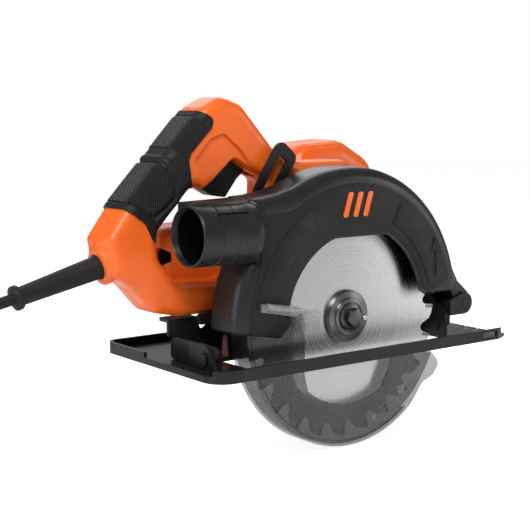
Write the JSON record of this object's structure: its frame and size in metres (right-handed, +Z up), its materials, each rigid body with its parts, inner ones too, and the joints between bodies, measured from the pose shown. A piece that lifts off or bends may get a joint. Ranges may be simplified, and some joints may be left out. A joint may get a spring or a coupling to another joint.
{
  "type": "circular saw",
  "caption": "Corded circular saw with a slotted shoe, tilting and plunging head, swinging lower guard, D-shaped rear handle with rubber grip and a round dust port.",
  "frame": {"origin": "on the sole's underside, level with the blade's axis, 45 mm to the motor side of the blade's plane", "axes": "+X is the cutting direction, +Y points to the motor side, +Z is up from the sole"},
  "size_m": [0.5651, 0.285, 0.2704],
  "materials": {
    "black_paint": "satin",
    "steel": "satin",
    "dark_steel": "satin",
    "black_plastic": "satin",
    "smoke_plastic": "gloss",
    "clear_plastic": "gloss",
    "copper": "satin",
    "brass": "satin",
    "carbon": "matte",
    "orange_plastic": "gloss",
    "black_rubber": "matte",
    "cast_metal": "satin"
  },
  "bodies": {
    "shoe": {"shoe": "black_paint", "rear_bevel_tab": "black_paint", "front_bevel_quadrant": "black_paint", "rear_bevel_pin": "steel", "front_bevel_pin": "steel"},
    "fence_clamp": {"fence_screw": "steel"},
    "carriage": {"rail_strap": "black_paint", "front_bracket": "black_paint", "rear_bracket": "black_paint", "rear_rest": "black_paint", "depth_arm": "black_paint", "depth_pin": "steel", "bevel_bolt": "steel"},
    "bevel_lever": {"bevel_lock_lever": "black_plastic"},
    "head": {"upper_guard": "black_plastic", "guard_cover": "black_plastic", "gear_case": "cast_metal", "gear_plate": "cast_metal", "spindle_bearing_front": "steel", "spindle_bearing_rear": "steel", "shaft_bearing_front": "steel", "shaft_bearing_rear": "steel", "guard_retainer": "steel", "guard_spring": "steel", "motor_housing": "orange_plastic", "stator": "dark_steel", "motor_end_cap": "black_plastic", "brush_holder_front": "brass", "brush_holder_rear": "brass", "brush_front": "carbon", "brush_rear": "carbon", "brush_cap_front": "black_plastic", "brush_cap_rear": "black_plastic", "handle_right": "orange_plastic", "handle_left": "orange_plastic", "grip_sleeve": "black_rubber", "switch_module": "black_plastic", "front_handle": "orange_plastic", "depth_bolt": "steel", "cord_boot": "black_rubber", "cord_run": "black_rubber", "cord_coil": "black_rubber", "cord_tail": "black_rubber", "plug": "black_plastic"},
    "blade_group": {"blade": "steel", "spindle": "steel", "inner_flange": "dark_steel", "outer_flange": "dark_steel", "blade_bolt": "dark_steel", "driven_gear": "dark_steel"},
    "armature": {"armature_shaft": "steel", "armature_core": "dark_steel", "commutator": "copper", "fan": "black_plastic"},
    "lower_guard": {"lower_guard": "smoke_plastic", "guard_lever": "clear_plastic"},
    "trigger": {"trigger": "black_plastic"},
    "lock_off": {"lock_off_button": "black_plastic"},
    "spindle_lock": {"spindle_lock": "black_plastic"},
    "depth_lever": {"depth_lock_lever": "black_plastic"}
  },
  "joints": [
    {"name": "bevel_tilt", "type": "hinge", "parent": "shoe", "child": "carriage", "pos_m": [0, -0.041, 0.01], "axis": [1, 0, 0], "range_deg": [0, 45]},
    {"name": "depth_swing", "type": "hinge", "parent": "carriage", "child": "head", "pos_m": [0.124, -0.045, 0.028], "axis": [0, 1, 0], "range_deg": [0, 33.5]},
    {"name": "blade_spin", "type": "hinge", "parent": "head", "child": "blade_group", "pos_m": [0, -0.045, 0.029], "axis": [0, 1, 0], "continuous": true},
    {"name": "motor_spin", "type": "hinge", "parent": "head", "child": "armature", "pos_m": [0.004, -0.045, 0.0542], "axis": [0, 1, 0], "continuous": true},
    {"name": "guard_swing", "type": "hinge", "parent": "head", "child": "lower_guard", "pos_m": [0, -0.045, 0.029], "axis": [0, 1, 0], "range_deg": [0, 130], "stiffness_Nm_per_rad": 0.08, "springref_deg": -68.75},
    {"name": "trigger_pull", "type": "hinge", "parent": "head", "child": "trigger", "pos_m": [-0.07, 0.007, 0.15], "axis": [0, 1, 0], "range_deg": [0, 7], "stiffness_Nm_per_rad": 1, "springref_deg": -5.73},
    {"name": "lock_off_press", "type": "slide", "parent": "head", "child": "lock_off", "axis": [0, -1, 0], "range_m": [0, 0.002], "stiffness_N_per_m": 300, "springref_m": -0.002},
    {"name": "spindle_lock_press", "type": "slide", "parent": "head", "child": "spindle_lock", "axis": [-1, 0, 0], "range_m": [0, 0.003], "stiffness_N_per_m": 300, "springref_m": -0.002},
    {"name": "depth_lock_turn", "type": "hinge", "parent": "head", "child": "depth_lever", "pos_m": [-0.08085, 0, 0.03587], "axis": [0, 1, 0], "range_deg": [0, 45]},
    {"name": "bevel_lock_turn", "type": "hinge", "parent": "carriage", "child": "bevel_lever", "pos_m": [0, -0.011, 0.01], "axis": [1, 0, 0], "range_deg": [0, 60]},
    {"name": "fence_screw_turn", "type": "hinge", "parent": "shoe", "child": "fence_clamp", "pos_m": [0.127, 0.039, 0], "axis": [0, 0, 1], "range_deg": [-180, 180]}
  ],
  "couplings": [
    {"joint": "motor_spin", "follows": "blade_spin", "ratio": -4.6667}
  ]
}
